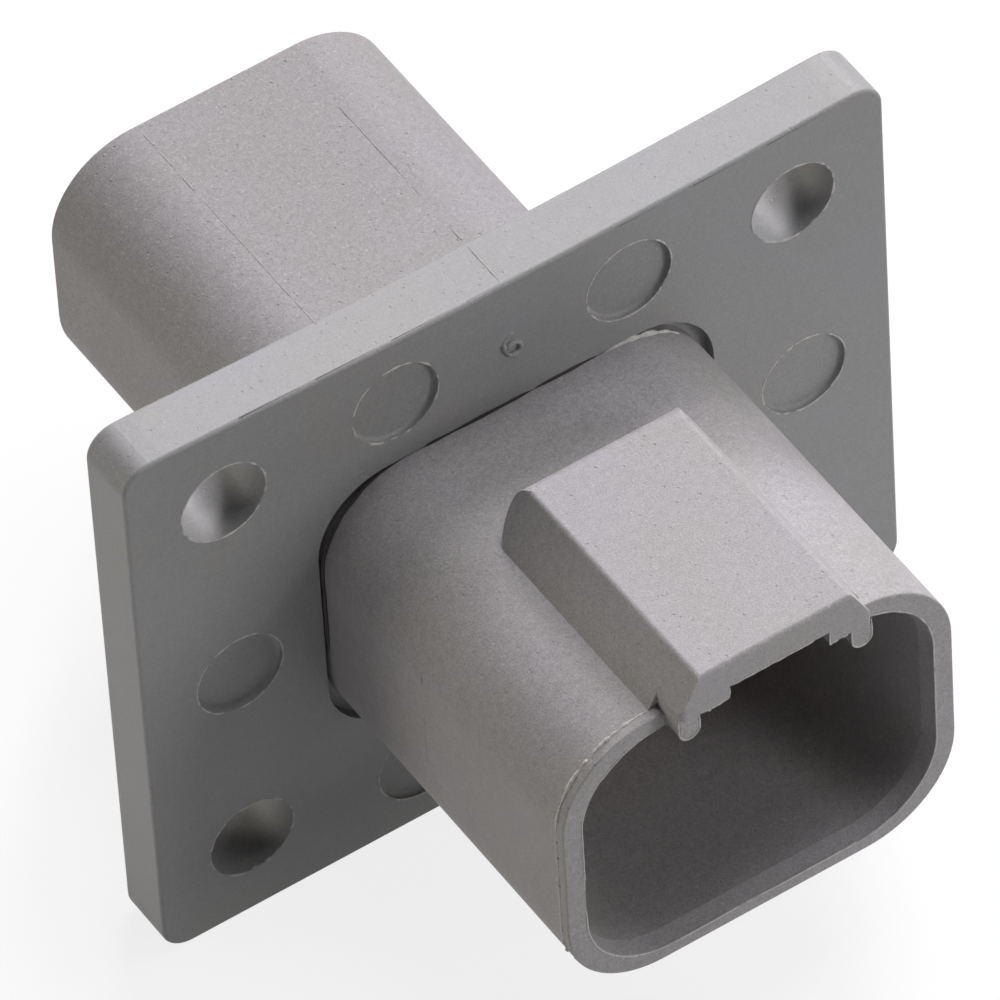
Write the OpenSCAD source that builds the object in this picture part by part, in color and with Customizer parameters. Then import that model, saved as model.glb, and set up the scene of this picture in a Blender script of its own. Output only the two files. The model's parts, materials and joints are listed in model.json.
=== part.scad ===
// Sealed four-way pin receptacle with a bolt-on flange.
// X runs across the connector, -Y points out of the mating mouth, +Z is the latch side.
// The origin is the middle of the flange's back face, where the panel's surface lies.
// Every length is in millimetres.

/* [Mounting flange] */
// Width of the flange plate
flange_w = 41.2; // [38:0.1:48]
// Height of the flange plate
flange_h = 33.3; // [32:0.1:40]
// Thickness of the flange plate
flange_t = 3.2; // [2.4:0.1:5]
// Radius of the plate's four corners
flange_corner_r = 1.5; // [0.8:0.1:3]
// Rounding along the plate's edges
flange_edge_r = 0.2; // [0.1:0.05:0.5]
// How far the plate's top edge has sunk in its middle, as a moulding does while it cools
top_sag = 0.4; // [0.1:0.05:0.8]
// Distance between the bolt holes, across
bolt_pitch_x = 31; // [29:0.1:33]
// Distance between the bolt holes, up and down
bolt_pitch_z = 23.4; // [22:0.1:24.5]
// Diameter of the bolt holes
bolt_hole_d = 4.5; // [3.4:0.1:5.2]
// Diameter of the round ejector marks on the front face
mark_d = 4.6; // [3:0.05:5]
// Depth of the ejector marks
mark_depth = 0.32; // [0.22:0.02:0.6]
// Distance between the marks above and below the shell, across
mark_pitch_x = 12.7; // [11:0.1:15]
// Distance between the marks above and below the shell, up and down
mark_pitch_z = 24.9; // [24:0.1:26]
// Distance between the two marks beside the shell
side_mark_pitch = 31.1; // [30:0.1:33]
// Offset of the whole pattern of marks, across
mark_shift_x = 0.15; // [-0.3:0.05:0.3]
// Offset of the whole pattern of marks, upwards
mark_shift_z = -0.2; // [-0.3:0.05:0.3]
// Depth of the pocket that takes the shell's shoulder
pocket_depth = 0.65; // [0.4:0.05:1.2]

/* [Front shroud] */
// Width of the shroud, outside
shroud_w = 21.2; // [20:0.1:23]
// Height of the shroud, outside
shroud_h = 16.7; // [16:0.1:18]
// Corner radius of the shroud, outside
shroud_r = 5; // [4:0.1:6]
// How far the shroud's rim stands in front of the flange
shroud_reach = 19.45; // [17:0.05:22]
// Rounding of the rim's outer edge
rim_r = 0.1; // [0.05:0.05:0.4]
// Width of the mating cavity
mouth_w = 18.7; // [17.5:0.1:19.2]
// Height of the mating cavity
mouth_h = 14.7; // [14:0.1:15]
// Corner radius of the mating cavity
mouth_r = 4.3; // [3.5:0.1:5]
// Depth of the mating cavity, from the rim
mouth_depth = 17.25; // [15:0.05:18]
// How much the cavity flares at the rim, on each side
lead_in = 0.22; // [0.1:0.02:0.4]
// Length of that flare
lead_in_l = 0.9; // [0.5:0.1:2]

/* [Latch pad] */
// Width of the latch pad where its sloping sides meet the shroud's top
pad_w = 11.4; // [10.8:0.1:12]
// Width of the pad's top, between its two long upper edges
pad_top_w = 8.25; // [7:0.05:9]
// Height of the pad's flat top above the connector's axis
pad_top = 11.3; // [10.8:0.05:12]
// Offset of the pad's middle, across
pad_shift = 0.3; // [0:0.05:0.5]
// How far the pad's front face stands in front of the flange
pad_reach = 20.8; // [20:0.05:22]
// Distance from the flange to the back of the pad
pad_back = 6.5; // [5:0.1:9]
// Rounding along the pad's long upper edges
pad_r = 0.3; // [0.1:0.05:0.6]
// Width of the pad's narrower front end, which overhangs the rim
ear_w = 10.4; // [9.8:0.1:10.6]
// Distance from the flange to where the pad narrows
ear_start = 18.9; // [17:0.1:19.3]
// Height of the shelves beside the latch channel, above the axis
shelf_z = 8.85; // [8.5:0.05:9.2]
// Height of the latch channel's ceiling, above the axis
ceiling_z = 9.65; // [9.3:0.05:10]
// Width of the latch channel
channel_w = 5.4; // [4:0.1:6]
// Offset of the latch channel's middle, across
channel_shift = 0.45; // [0:0.05:0.6]
// Length of the lintel that the mating latch hooks behind
lintel_l = 2.6; // [1.5:0.1:4]
// Height of the catch pocket behind the lintel, above the axis
catch_z = 10.4; // [10:0.05:10.6]
// Inner distance between the two guide feet under the pad
feet_gap = 8.25; // [7:0.05:8.6]
// Height of the feet's lower ends, above the axis
feet_z = 7.4; // [7.4:0.05:8]

/* [Rear body] */
// Width of the rear body
rear_w = 18.5; // [17.5:0.1:19.5]
// Height of the rear body
rear_h = 14.5; // [13.8:0.1:15.5]
// Corner radius of the rear body
rear_r = 4.66; // [4:0.02:5]
// Distance from the flange's front face to the rear end
rear_reach = 25.25; // [24:0.05:28]
// Rounding of the rear end's outer edge
rear_edge_r = 0.1; // [0.05:0.05:0.5]
// Width of the pocket for the wire seal
seal_w = 16.1; // [15:0.1:16.5]
// Height of the pocket for the wire seal
seal_h = 12.1; // [11.5:0.1:12.5]
// Corner radius of the pocket for the wire seal
seal_r = 3.5; // [3:0.1:4]
// Length of the wire seal
seal_l = 9; // [8:0.1:9.3]
// How far the seal lies inside the rear end
seal_recess = 0.65; // [0.3:0.05:1]

/* [Contacts] */
// Distance between contacts, across
contact_pitch_x = 7.4; // [7:0.1:7.8]
// Distance between contacts, up and down
contact_pitch_z = 5.8; // [5.6:0.1:6.2]
// Diameter of a contact pin
pin_d = 1.6; // [1.4:0.05:1.8]
// Diameter of the neck behind a pin
neck_d = 2.1; // [1.9:0.05:2.3]
// How far a pin's tip stands in front of the flange
pin_reach = 10.2; // [9:0.1:12]
// Diameter of a contact's retaining collar
collar_d = 2.75; // [2.6:0.05:2.9]
// Diameter of a contact's crimp barrel
barrel_d = 2.6; // [2.2:0.05:2.8]
// Diameter of a crimp barrel's wire hole
crimp_hole_d = 1.8; // [1.4:0.05:1.9]
// Diameter of a wire hole in the seal
wire_hole_d = 2.3; // [2:0.05:2.6]

/* [Wedge lock] */
// Thickness of the wedge lock's plate
wedge_t = 1.8; // [1.4:0.1:2.4]
// Width of the wedge lock's plate
wedge_w = 15.4; // [14.5:0.1:16]
// Height of the wedge lock's plate
wedge_h = 11.6; // [10.8:0.1:12]

/* [Hidden] */

$fn = 96;
cut = 0.5; // overrun of a cutter past the face that it opens
overlap = 0.05; // how far two joined forms run into each other
slide_gap = 0.05; // clearance of a piece that slides into its place
crisp_r = 0.05; // rounding of an edge that lies hidden in a pocket

housing_grey = [0.62, 0.61, 0.61];
flange_grey = [0.56, 0.56, 0.56];
seal_blue_grey = [0.33, 0.38, 0.42];
lock_orange = [0.85, 0.42, 0.12];
contact_nickel = [0.78, 0.76, 0.71];

// The flange pocket is wider than the shoulder at its sides and squarer in its corners
pocket_side_gap = 0.25;
pocket_end_gap = 0.05;
pocket_squareness = 1;
pocket_w = shroud_w + 2 * pocket_side_gap;
pocket_h = shroud_h + 2 * pocket_end_gap;
pocket_r = shroud_r - pocket_squareness;
mark_fillet = 0.2; // rounding at the foot of an ejector mark's wall

// Insulator between the mating cavity and the seal pocket, as distances behind the flange face
bulkhead_front = mouth_depth - shroud_reach;
seal_floor = rear_reach - seal_recess - seal_l;
seal_end = seal_floor + seal_l;
web_t = 1.6; // web in front of each contact's collar
collar_seat = bulkhead_front + web_t;
collar_l = 1.1;
contact_bore_d = 3.2;
neck_gap = 0.1;
contact_hole_d = neck_d + 2 * neck_gap;

// Locking fingers, moulded between the lock slot and each contact bore
slot_w = 11.2;
slot_h = 1.4;
slot_l = 10;
finger_w = 2.2;
finger_slit = 0.3;
finger_root = 7.5;
finger_tip = collar_seat + collar_l - overlap;
finger_drop = 0.9; // from a bore's axis to the top of its finger
room_drop = 0.7; // from a bore's axis to the top of the room around its finger
tooth_start = slot_h / 2 + 2 * overlap;
tooth_bite = 0.55; // how far a tooth stands into its bore
tooth_flat = 0.35;
tooth_ramp = 1.4;

// Side slots that take the lock's two barbed legs
leg_x = 6.7;
leg_t = 0.8;
leg_w = 3;
leg_l = 5.2;
leg_gap = 0.2;
barb_out = 0.35;
barb_l = 1.5;
barb_flat = 0.2;

// The four contact positions, numbered from the upper left
CONTACTS = [for (z = [1, -1], x = [-1, 1]) [x * contact_pitch_x / 2, z * contact_pitch_z / 2]];
BOLTS = [for (x = [-1, 1], z = [-1, 1]) [x * bolt_pitch_x / 2, z * bolt_pitch_z / 2]];
MARKS = concat(
  [for (x = [-1, 1], z = [-1, 1]) [mark_shift_x + x * mark_pitch_x / 2, mark_shift_z + z * mark_pitch_z / 2]],
  [for (x = [-1, 1]) [mark_shift_x + x * side_mark_pitch / 2, mark_shift_z]]
);

// Moves what is measured from the flange's front face back to the part's origin
module from_front_face() {
  translate([0, -flange_t, 0]) children();
}

// Lays a shape drawn in X and Z, and raised along its own Z, so that it grows forward from y
module facing_front(y) {
  translate([0, y, 0]) rotate([90, 0, 0]) children();
}

// Rounded rectangle
module outline(w, h, r) {
  square([w - 2 * r, h], center = true);
  square([w, h - 2 * r], center = true);
  for (x = [-1, 1], y = [-1, 1])
    translate([x * (w / 2 - r), y * (h / 2 - r)]) circle(r);
}

// Carries a wall section right round a rounded rectangle: the section is revolved at the four
// corners and runs straight between them. It is drawn from $inner to $outer, and up from 0.
module around(w, h, r) {
  for (x = [-1, 1], y = [-1, 1])
    translate([x * (w / 2 - r), y * (h / 2 - r), 0])
      rotate_extrude() let ($inner = 0, $outer = r) children();
  rotate([90, 0, 90])
    linear_extrude(w - 2 * r, center = true) let ($inner = -h / 2, $outer = h / 2) children();
  rotate([90, 0, 0])
    linear_extrude(h - 2 * r, center = true) let ($inner = -w / 2, $outer = w / 2) children();
}

// What a rounding of radius r takes off a corner at the origin, pointing right and up
module corner_waste(r) {
  difference() {
    translate([-r, -r]) square(2 * r);
    translate([-r, -r]) circle(r);
    translate([-2 * r, -r]) square([r, 3 * r]);
    translate([-r, -2 * r]) square([3 * r, r]);
  }
}

// Wall section of height l, with its lower edges rounded by r_low and its upper edges by r_high
module round_section(l, r_low, r_high) {
  difference() {
    translate([$inner, 0]) square([$outer - $inner, l]);
    translate([$outer, l]) corner_waste(r_high);
    translate([$outer, 0]) mirror([0, 1]) corner_waste(r_low);
    if ($inner < 0) {
      translate([$inner, l]) mirror([1, 0]) corner_waste(r_high);
      translate([$inner, 0]) mirror([1, 0]) mirror([0, 1]) corner_waste(r_low);
    }
  }
}

// Cutter section of height l that flares by `flare` over its last `flare_l`
module flared_section(l, flare, flare_l) {
  overrun = 2 * overlap;
  end_flare = flare * (1 + overrun / flare_l);
  low = $inner < 0 ? 1 : 0;
  polygon([
    [$inner, 0], [$outer, 0], [$outer, l - flare_l],
    [$outer + end_flare, l + overrun],
    [$inner - low * end_flare, l + overrun],
    [$inner, l - flare_l]
  ]);
}

// Block with a rounded-rectangle outline and rounded end edges
module soft_block(w, h, r, l, r_low, r_high) {
  around(w, h, r) round_section(l, r_low, r_high);
}

// Cutter for the plate's sunken top edge: a drum of long radius, flared at both faces of the
// plate so that the sunken edge keeps the plate's rounding
module sunken_top() {
  sunken_l = flange_w - 3 * flange_corner_r;
  drum_r = (pow(sunken_l / 2, 2) + pow(top_sag, 2)) / (2 * top_sag);
  translate([0, 0, flange_h / 2 - top_sag + drum_r]) facing_front(flange_t)
    rotate_extrude($fn = 720) let ($fn = 48) {
      translate([drum_r - flange_h / 4, -cut]) square([flange_h / 4, flange_t + 2 * cut]);
      translate([drum_r, 0]) mirror([1, 0]) mirror([0, 1]) corner_waste(flange_edge_r);
      translate([drum_r, flange_t]) mirror([1, 0]) corner_waste(flange_edge_r);
    }
}

// Shallow round mark that an ejector pin leaves, with a soft foot to its wall
module ejector_mark() {
  rotate_extrude() difference() {
    square([mark_d / 2, mark_depth + cut]);
    translate([mark_d / 2, 0]) mirror([0, 1]) corner_waste(mark_fillet);
  }
}

// Moulded flange plate with its bolt holes, ejector marks and the pocket for the shell
module mounting_flange() {
  color(flange_grey) from_front_face() difference() {
    facing_front(flange_t)
      soft_block(flange_w, flange_h, flange_corner_r, flange_t, flange_edge_r, flange_edge_r);
    sunken_top();
    facing_front(flange_t + cut) {
      linear_extrude(flange_t + 2 * cut)
        outline(rear_w + 2 * slide_gap, rear_h + 2 * slide_gap, rear_r + slide_gap);
      for (p = BOLTS) translate(p) cylinder(d = bolt_hole_d, h = flange_t + 2 * cut);
    }
    facing_front(pocket_depth) linear_extrude(pocket_depth + cut) outline(pocket_w, pocket_h, pocket_r);
    for (p = MARKS) facing_front(mark_depth) translate(p) ejector_mark();
  }
}

// Front outline of the latch pad: upright below, then sides that slope in to the flat top. Each
// upper edge is rounded by a circle that the top and the slope both touch.
module pad_front() {
  rise = pad_top - shroud_h / 2;
  run = (pad_w - pad_top_w) / 2;
  down = [run, -rise] / norm([run, rise]);
  bend = pad_r * tan(atan2(rise, run) / 2);
  root = 0.2; // how far the slopes run on into the shroud
  edge = [pad_top_w / 2, pad_top];
  right_side = [
    [pad_w / 2 + root * run / rise, feet_z],
    [pad_w / 2 + root * run / rise, shroud_h / 2 - root],
    edge + bend * down,
    edge - [bend, 0]
  ];
  left_side = [for (i = [3:-1:0]) [-right_side[i][0], right_side[i][1]]];
  polygon(concat(right_side, left_side));
  for (side = [0, 1]) mirror([side, 0]) translate(edge - [bend, pad_r]) circle(pad_r);
}

// Side outline of the latch pad: X is the distance in front of the flange, Y the height
module pad_side() {
  back_r = 0.9;
  front_r = 0.25;
  difference() {
    translate([pad_back, feet_z]) square([pad_reach - pad_back, pad_top - feet_z]);
    translate([pad_back, pad_top]) mirror([1, 0]) corner_waste(back_r);
    translate([pad_reach, pad_top]) corner_waste(front_r);
  }
}

// Plan of the latch pad: X is across, Y the distance in front of the flange
module pad_plan() {
  back_r = 1;
  front_r = 0.35;
  difference() {
    union() {
      translate([-pad_w, pad_back]) square([2 * pad_w, ear_start - pad_back]);
      translate([-ear_w / 2, pad_back]) square([ear_w, pad_reach - pad_back]);
    }
    for (side = [0, 1]) mirror([side, 0]) {
      translate([ear_w / 2, pad_reach]) corner_waste(front_r);
      translate([pad_w / 2, pad_back]) mirror([0, 1]) corner_waste(back_r);
    }
  }
}

// The pad is where its front, side and plan outlines meet, cut back below to the two guide feet
module latch_pad() {
  translate([pad_shift, 0, 0]) difference() {
    intersection() {
      rotate([90, 0, 0]) linear_extrude(pad_reach + cut) pad_front();
      rotate([90, 0, -90]) linear_extrude(pad_w + 2 * cut, center = true) pad_side();
      mirror([0, 1, 0]) translate([0, 0, feet_z - cut]) linear_extrude(pad_top) pad_plan();
    }
    feet_setback();
  }
}

// Below the shelves, the pad's overhang is cut back to a pair of feet with round lower ends
module feet_setback() {
  setback = 0.15;
  foot_w = (ear_w - feet_gap) / 2;
  translate([-pad_w, -pad_reach - cut, feet_z - cut])
    cube([2 * pad_w, cut + setback, shelf_z - feet_z + cut]);
  facing_front(-shroud_reach - rim_r) linear_extrude(pad_reach - shroud_reach + cut)
    for (side = [0, 1]) mirror([side, 0])
      for (end = [0, 1]) translate([feet_gap / 2 + end * foot_w, feet_z]) mirror([1 - end, 0])
        mirror([0, 1]) corner_waste(foot_w / 2 - overlap);
}

// Channel that the mating latch runs in, with the catch pocket behind its lintel
module latch_channel() {
  channel_end = 9; // distance in front of the flange where the channel stops
  facing_front(-channel_end) linear_extrude(pad_reach - channel_end + cut) {
    translate([pad_shift - feet_gap / 2, 0]) square([feet_gap, shelf_z]);
    translate([channel_shift - channel_w / 2, 0]) square([channel_w, ceiling_z]);
  }
  catch_l = 4.4;
  facing_front(lintel_l + catch_l - pad_reach) linear_extrude(catch_l)
    translate([channel_shift - channel_w / 2, 0]) square([channel_w, catch_z]);
}

// Mating cavity with its flared lip
module mating_cavity() {
  facing_front(bulkhead_front)
    around(mouth_w, mouth_h, mouth_r) flared_section(mouth_depth, lead_in, lead_in_l);
}

// Stepped bore of one contact: pin hole, collar seat and crimp barrel bore
module contact_bore() {
  facing_front(seal_floor + cut) cylinder(d = contact_bore_d, h = seal_floor + cut - collar_seat);
  facing_front(0) cylinder(d = contact_hole_d, h = cut - bulkhead_front);
}

// Room around one locking finger, above the lock slot
module finger_room() {
  room_w = finger_w + 2 * finger_slit;
  translate([-room_w / 2, collar_seat, slot_h / 2 - overlap])
    cube([room_w, finger_root - collar_seat, contact_pitch_z / 2 - room_drop - slot_h / 2 + overlap]);
}

// Beam of one locking finger, before its contact bore is cut
module finger_beam() {
  translate([-finger_w / 2, finger_tip, slot_h / 2])
    cube([finger_w, finger_root - finger_tip + cut, contact_pitch_z / 2 - finger_drop - slot_h / 2]);
}

// Tooth of one locking finger: its front face holds the collar, its ramp lets a contact in
module finger_tooth() {
  tooth_top = contact_pitch_z / 2 - contact_bore_d / 2 + tooth_bite;
  rotate([90, 0, 90]) linear_extrude(finger_w, center = true) polygon([
    [collar_seat + collar_l, tooth_start],
    [collar_seat + collar_l, tooth_top],
    [collar_seat + collar_l + tooth_flat, tooth_top],
    [collar_seat + collar_l + tooth_flat + tooth_ramp, tooth_start]
  ]);
}

// Puts a finger feature beside each of the four contact bores
module at_fingers() {
  for (x = [-1, 1], z = [0, 1]) mirror([0, 0, z]) translate([x * contact_pitch_x / 2, 0, 0]) children();
}

// Slots in the bulkhead for the wedge lock's tongue and its two barbed legs
module lock_slots() {
  translate([-slot_w / 2, bulkhead_front - cut, -slot_h / 2]) cube([slot_w, slot_l + cut, slot_h]);
  for (side = [0, 1]) mirror([side, 0, 0]) {
    translate([leg_x - leg_gap, bulkhead_front - cut, -leg_w / 2 - leg_gap])
      cube([leg_t + leg_gap + slide_gap, leg_l + leg_gap + cut, leg_w + 2 * leg_gap]);
    translate([leg_x, bulkhead_front + leg_l - barb_l, -leg_w / 2 - leg_gap])
      cube([leg_t + barb_out + leg_gap, barb_l + leg_gap, leg_w + 2 * leg_gap]);
  }
}

// One-piece shell: shroud, latch pad, insulator and rear body
module receptacle_shell() {
  color(housing_grey) from_front_face() {
    difference() {
      union() {
        difference() {
          union() {
            facing_front(pocket_depth)
              soft_block(shroud_w, shroud_h, shroud_r, shroud_reach + pocket_depth, crisp_r, rim_r);
            facing_front(rear_reach)
              soft_block(rear_w, rear_h, rear_r, rear_reach, rear_edge_r, crisp_r);
            latch_pad();
          }
          mating_cavity();
          latch_channel();
          lock_slots();
          at_fingers() finger_room();
        }
        at_fingers() finger_beam();
      }
      for (p = CONTACTS) translate([p[0], 0, p[1]]) contact_bore();
      facing_front(rear_reach + cut)
        linear_extrude(rear_reach + cut - seal_floor) outline(seal_w, seal_h, seal_r);
    }
    at_fingers() finger_tooth();
  }
}

// Moulded rubber seal with outer ribs and a ribbed hole for each wire
module rear_wire_seal() {
  core_gap = 0.4;
  core_r = 0.3;
  rib_l = 1.3;
  rib_r = 0.4;
  rib_start = 1.2;
  rib_pitch = 2.6;
  land_l = 2.1;
  inner_rib_l = 0.8;
  inner_rib_rise = 0.25;
  inner_rib_d = wire_hole_d - 2 * inner_rib_rise;
  color(seal_blue_grey) from_front_face() difference() {
    union() {
      facing_front(seal_end) soft_block(
        seal_w - 2 * core_gap, seal_h - 2 * core_gap, seal_r - core_gap, seal_l, core_r, core_r);
      for (i = [0:2]) facing_front(seal_end - rib_start - i * rib_pitch)
        soft_block(seal_w, seal_h, seal_r, rib_l, rib_r, rib_r);
    }
    for (p = CONTACTS) facing_front(seal_end) translate(p) {
      translate([0, 0, -cut]) cylinder(d = inner_rib_d, h = seal_l + 2 * cut);
      translate([0, 0, -cut]) cylinder(d = wire_hole_d, h = land_l + cut);
      translate([0, 0, land_l + inner_rib_l]) cylinder(d = wire_hole_d, h = land_l);
      translate([0, 0, 2 * (land_l + inner_rib_l)]) cylinder(d = wire_hole_d, h = seal_l);
    }
  }
}

// Lock that is pushed in over the pins and blocks the locking fingers
module wedge_lock() {
  plate_r = 3;
  plate_front_r = 0.3;
  tongue_w = slot_w - 2 * leg_gap;
  tongue_play = 0.15;
  tongue_t = slot_h - tongue_play;
  tongue_l = 6;
  nose_l = 0.5;
  nose_drop = 0.3;
  root = 0.3; // how far the tongue and the legs run into the plate
  hole_gap = 0.25;
  hole_d = neck_d + 2 * hole_gap;
  countersink = 0.5;
  recess_w = 3.6; // recess for the tool that pulls the lock out
  recess_h = 1.4;
  color(lock_orange) from_front_face() {
    difference() {
      facing_front(bulkhead_front)
        soft_block(wedge_w, wedge_h, plate_r, wedge_t, 2 * crisp_r, plate_front_r);
      for (p = CONTACTS) facing_front(bulkhead_front + cut) translate(p) {
        cylinder(d = hole_d, h = wedge_t + 2 * cut);
        translate([0, 0, wedge_t + cut - countersink])
          cylinder(d1 = hole_d, d2 = hole_d + 4 * countersink, h = 2 * countersink);
      }
      facing_front(bulkhead_front - wedge_t / 2)
        linear_extrude(wedge_t) square([recess_w, recess_h], center = true);
    }
    translate([0, bulkhead_front, 0]) {
      rotate([90, 0, 90]) linear_extrude(tongue_w, center = true) polygon([
        [-root, -tongue_t / 2], [tongue_l - nose_l, -tongue_t / 2],
        [tongue_l, -tongue_t / 2 + nose_drop], [tongue_l, tongue_t / 2 - nose_drop],
        [tongue_l - nose_l, tongue_t / 2], [-root, tongue_t / 2]
      ]);
      for (side = [0, 1]) mirror([side, 0, 0]) translate([leg_x, 0, 0])
        linear_extrude(leg_w, center = true) polygon([
          [0, -root], [0, leg_l], [leg_t, leg_l],
          [leg_t + barb_out, leg_l - barb_l + barb_flat], [leg_t + barb_out, leg_l - barb_l],
          [leg_t, leg_l - barb_l], [leg_t, -root]
        ]);
    }
  }
}

// One turned contact: round-nosed pin, retaining collar, shank and crimp barrel
module contact(number) {
  position = CONTACTS[number - 1];
  neck_show = 0.2; // how far the neck stands in front of the wedge lock
  neck_reach = wedge_t - bulkhead_front + neck_show;
  barrel_start = 8.6;
  barrel_gap = 0.2; // between a barrel's end and the seal
  barrel_end = seal_floor - barrel_gap;
  crimp_depth = 5.4;
  nose = 0.5;
  inspection_d = 0.8;
  color(contact_nickel) from_front_face() facing_front(barrel_end) translate(position) difference() {
    rotate_extrude() union() {
      square([barrel_d / 2, barrel_end - barrel_start]);
      square([neck_d / 2, barrel_end + neck_reach]);
      translate([0, barrel_end - collar_seat - collar_l]) square([collar_d / 2, collar_l]);
      square([pin_d / 2, barrel_end + pin_reach - nose]);
      square([pin_d / 2 - nose, barrel_end + pin_reach]);
      translate([pin_d / 2 - nose, barrel_end + pin_reach - nose]) intersection() {
        circle(nose);
        square(nose);
      }
    }
    translate([0, 0, -cut]) cylinder(d = crimp_hole_d, h = crimp_depth + cut);
    translate([0, 0, crimp_depth - inspection_d]) rotate([-90, 0, 0]) cylinder(d = inspection_d, h = barrel_d);
  }
}

module contact_pin_1() { contact(1); }
module contact_pin_2() { contact(2); }
module contact_pin_3() { contact(3); }
module contact_pin_4() { contact(4); }

receptacle_shell();
mounting_flange();
rear_wire_seal();
wedge_lock();
contact_pin_1();
contact_pin_2();
contact_pin_3();
contact_pin_4();
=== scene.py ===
"""Looks for the sealed flange-mount receptacle: moulded finishes, flash, mould lines, light and camera."""

import json
import math

import bmesh
import bpy
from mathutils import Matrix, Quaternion, Vector, noise


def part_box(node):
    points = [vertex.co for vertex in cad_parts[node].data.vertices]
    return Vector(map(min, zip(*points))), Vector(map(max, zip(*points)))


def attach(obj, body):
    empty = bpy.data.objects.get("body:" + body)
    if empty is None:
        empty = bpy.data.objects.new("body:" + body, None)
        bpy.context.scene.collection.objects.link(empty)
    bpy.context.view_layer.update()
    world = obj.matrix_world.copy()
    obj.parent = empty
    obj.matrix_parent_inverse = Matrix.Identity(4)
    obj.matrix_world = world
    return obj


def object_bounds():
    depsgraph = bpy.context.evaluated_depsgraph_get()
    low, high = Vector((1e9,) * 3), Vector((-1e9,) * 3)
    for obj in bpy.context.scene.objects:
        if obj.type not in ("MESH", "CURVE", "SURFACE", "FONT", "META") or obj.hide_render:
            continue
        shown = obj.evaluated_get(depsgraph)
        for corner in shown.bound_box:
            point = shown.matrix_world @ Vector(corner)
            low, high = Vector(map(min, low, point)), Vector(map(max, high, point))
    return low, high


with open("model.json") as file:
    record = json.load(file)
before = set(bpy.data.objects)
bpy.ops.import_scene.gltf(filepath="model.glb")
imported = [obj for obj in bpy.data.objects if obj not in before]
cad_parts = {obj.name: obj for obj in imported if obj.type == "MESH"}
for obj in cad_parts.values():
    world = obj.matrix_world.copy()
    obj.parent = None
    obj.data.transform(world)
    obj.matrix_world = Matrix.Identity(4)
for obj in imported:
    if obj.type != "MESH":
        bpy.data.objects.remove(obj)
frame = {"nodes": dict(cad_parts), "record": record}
cad_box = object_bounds()
scene = bpy.context.scene
MM = 0.001

# Camera, solved on the photo's edges, holes and rims. Angles in degrees, lengths in metres.
CAMERA_AZIMUTH = -30.93
CAMERA_ELEVATION = 48.74
CAMERA_ROLL = -3.717
CAMERA_DISTANCE = 0.7093
CAMERA_AIM = Vector((-0.38, -2.068, 0.68)) * MM
LENS_MM = 557.36
SENSOR_MM = 36.0

# Soft boxes: azimuth and elevation as seen from the part, light level, width in metres and tint.
# At level 1 a face that looks at the lamp renders at its written colour.
LAMP_DISTANCE = 0.5
LAMPS = {
    "key_lamp": (140, 36, 0.60, 0.12, "#FFFBFF"),
    "high_key": (140, 52, 0.21, 0.12, "#FFFBFF"),
    "right_key": (110, 35, 0.14, 0.12, "#FFFBFF"),
    "top_right_fill": (90, 75, 0.42, 0.30, "#FFFCFF"),
    "front_right_fill": (30, 20, 0.29, 0.22, "#FFFDFC"),
    "left_back_low": (240, 3, 0.28, 0.22, "#FFF7EA"),
    "left_low": (270, 3, 0.05, 0.22, "#FFF7EA"),
}

# The room is brightest towards this azimuth and elevation.
SKY_BRIGHT_WAY = (150, 60)
SKY_LOW = 0.0
SKY_HIGH = 0.03

# The floor, in metres. It lights the part in one tone and is looked at in a darker one. That tone and the
# glow add up to white, which leaves the part a faint shadow.
FLOOR_SIZE = 6.0
FLOOR_LIGHTING_TONE = "#BEBEBE"
FLOOR_SEEN_TONE = "#767676"
FLOOR_GLOW = 0.82
WHITE = "#FFFFFF"

# Typical refractive indices.
NYLON_IOR = 1.53
SILICONE_IOR = 1.41

# Patterns of the moulded nylon: sizes in millimetres, how strong the mottle is beside the grain, and how
# far the roughness strays to each side.
DRIFT_MM = 5
MOTTLE_MM = 0.4
GRAIN_MM = 0.1
MOTTLE_SHARE = 0.6
ROUGH_SPREAD = 0.05

# Dots in the moulded nylon: cell and radius in millimetres, share of the cells that have one, and seed.
# The pale flecks stand for fibre ends and also paint small glints.
PALE_FLECKS = (0.24, 0.085, 0.75, 0.11)
DARK_FLECKS = (0.6, 0.065, 0.45, 0.23)
PIMPLES = (0.26, 0.1, 0.75, 0.37)
# A dot's edge fades over this share of its radius.
DOT_EDGE = 0.5

# Noise seldom leaves this range, so a pattern is spread over it. The drift is spread over less of it.
NOISE_LOW, NOISE_HIGH = 0.3, 0.7
DRIFT_LOW, DRIFT_HIGH = 0.35, 0.65

# How much darker and paler than its tone a plain finish gets.
PLAIN_DEPTH = 0.07

# Places are in millimetres: x and z across the flange, y from the flange's front face towards the wires.
FLANGE_LOW, FLANGE_HIGH = (Vector(c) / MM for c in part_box("mounting_flange"))
SHELL_LOW, SHELL_HIGH = (Vector(c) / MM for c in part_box("receptacle_shell"))
MOUNTS = {m["name"]: m for m in frame["record"]["mounts"]}
FACE_Y = FLANGE_LOW.y
FLANGE_T = FLANGE_HIGH.y - FLANGE_LOW.y
RIM_Y = MOUNTS["mating_mouth"]["pos_m"][1] / MM - FACE_Y
PAD_Y = SHELL_LOW.y - FACE_Y
REAR_Y = SHELL_HIGH.y - FACE_Y
SHROUD_W = SHELL_HIGH.x - SHELL_LOW.x
SHROUD_H = -2 * SHELL_LOW.z
SHROUD_R = 5.0
FLASH_Y = RIM_Y + 0.55
WALL = 1.03
WALL_ABOVE = 0.76 * WALL
MOUTH_R = 4.52
REAR_TOP = 7.25

# The shell's two ends in metres, in the frame's own y. The painted fall-off of light runs between them.
MOUTH_END, WIRE_END = SHELL_LOW.y * MM, SHELL_HIGH.y * MM

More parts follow.
